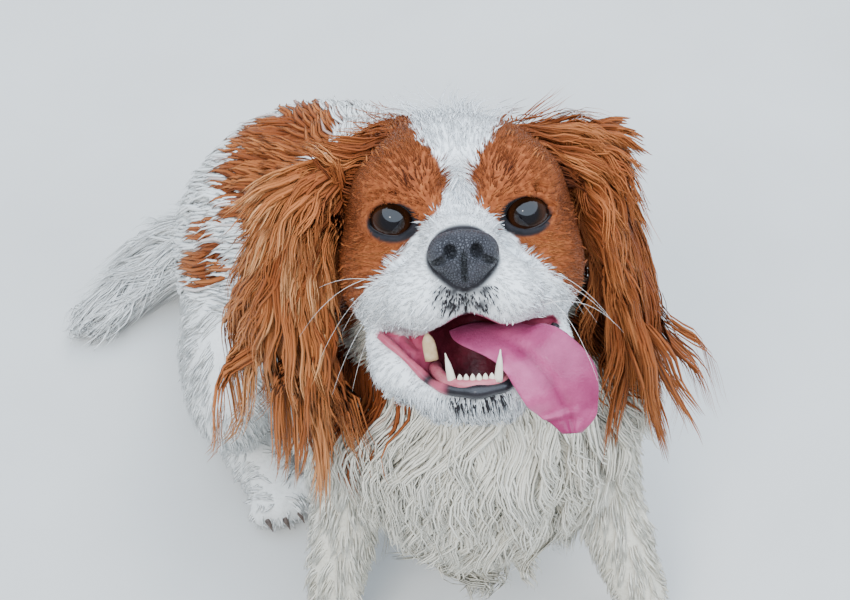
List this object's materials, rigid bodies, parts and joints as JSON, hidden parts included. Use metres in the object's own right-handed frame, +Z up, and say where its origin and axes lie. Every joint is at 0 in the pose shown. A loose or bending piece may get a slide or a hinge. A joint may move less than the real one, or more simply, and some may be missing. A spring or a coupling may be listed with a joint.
{
  "type": "cavalier king charles spaniel",
  "caption": "Sitting long-coated toy spaniel, life size, head raised and mouth open with its tongue hanging out, chestnut and white.",
  "frame": {"origin": "on the floor, under the middle of the whole dog's bounding box", "axes": "+Z up, -Y the way the dog faces, +X its left side"},
  "size_m": [0.3602, 0.441, 0.4075],
  "materials": {
    "coat_white": "long silky cream-white coat",
    "coat_chestnut": "long silky chestnut coat",
    "nose_leather": "fine pebbled, damp slate-black nose leather",
    "eye": "wet, dark brown eye",
    "tongue": "moist pink tongue with fine bumps"
  },
  "bodies": {
    "root": {"head": "coat_chestnut", "lower_jaw": "coat_white", "nose": "nose_leather", "tongue": "tongue", "eye_right": "eye", "eye_left": "eye", "ear_right": "coat_chestnut", "ear_left": "coat_chestnut", "neck": "coat_white", "chest": "coat_white", "torso": "coat_chestnut", "rump": "coat_white", "foreleg_right": "coat_white", "foreleg_left": "coat_white", "hindleg_right": "coat_white", "hindleg_left": "coat_white", "tail": "coat_white", "forepaw_right": "coat_white", "forepaw_left": "coat_white", "hindpaw_right": "coat_white", "hindpaw_left": "coat_white"}
  },
  "joints": []
}
